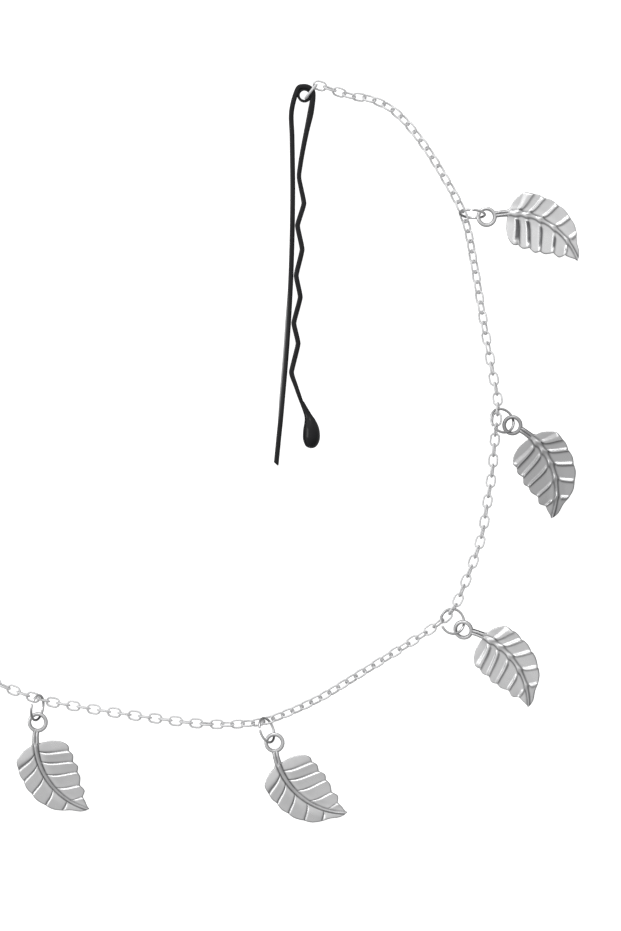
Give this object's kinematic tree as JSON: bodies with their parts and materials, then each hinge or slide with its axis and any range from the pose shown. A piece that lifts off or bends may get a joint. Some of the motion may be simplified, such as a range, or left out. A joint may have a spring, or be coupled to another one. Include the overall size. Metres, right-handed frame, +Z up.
{
  "type": "hair chain",
  "caption": "Fine cable chain for the hair with leaf charms on jump rings and a waved hair pin at each end, laid out flat in a loop.",
  "frame": {"origin": "on the surface the piece lies on, in the middle of its spread", "axes": "+Z up from the surface, +X across the loop towards the right hair pin's side, +Y towards the pins' heads"},
  "size_m": [0.1328, 0.1075, 0.004],
  "materials": {
    "plated_wire": "bright silver plate on drawn wire",
    "cast_leaf": "satin silver plate on cast metal, dark in the recesses",
    "enamelled_steel": "gloss black enamel on flat steel wire"
  },
  "bodies": {
    "root": {"chain": "plated_wire", "hair_pin_right": "enamelled_steel", "hair_pin_left": "enamelled_steel", "end_ring_right": "plated_wire", "end_ring_left": "plated_wire", "jump_ring_1": "plated_wire", "jump_ring_2": "plated_wire", "jump_ring_3": "plated_wire", "jump_ring_4": "plated_wire", "jump_ring_5": "plated_wire", "jump_ring_6": "plated_wire", "jump_ring_7": "plated_wire", "jump_ring_8": "plated_wire", "leaf_charm_1": "cast_leaf", "leaf_charm_2": "cast_leaf", "leaf_charm_3": "cast_leaf", "leaf_charm_4": "cast_leaf", "leaf_charm_5": "cast_leaf", "leaf_charm_6": "cast_leaf", "leaf_charm_7": "cast_leaf", "leaf_charm_8": "cast_leaf"}
  },
  "joints": []
}
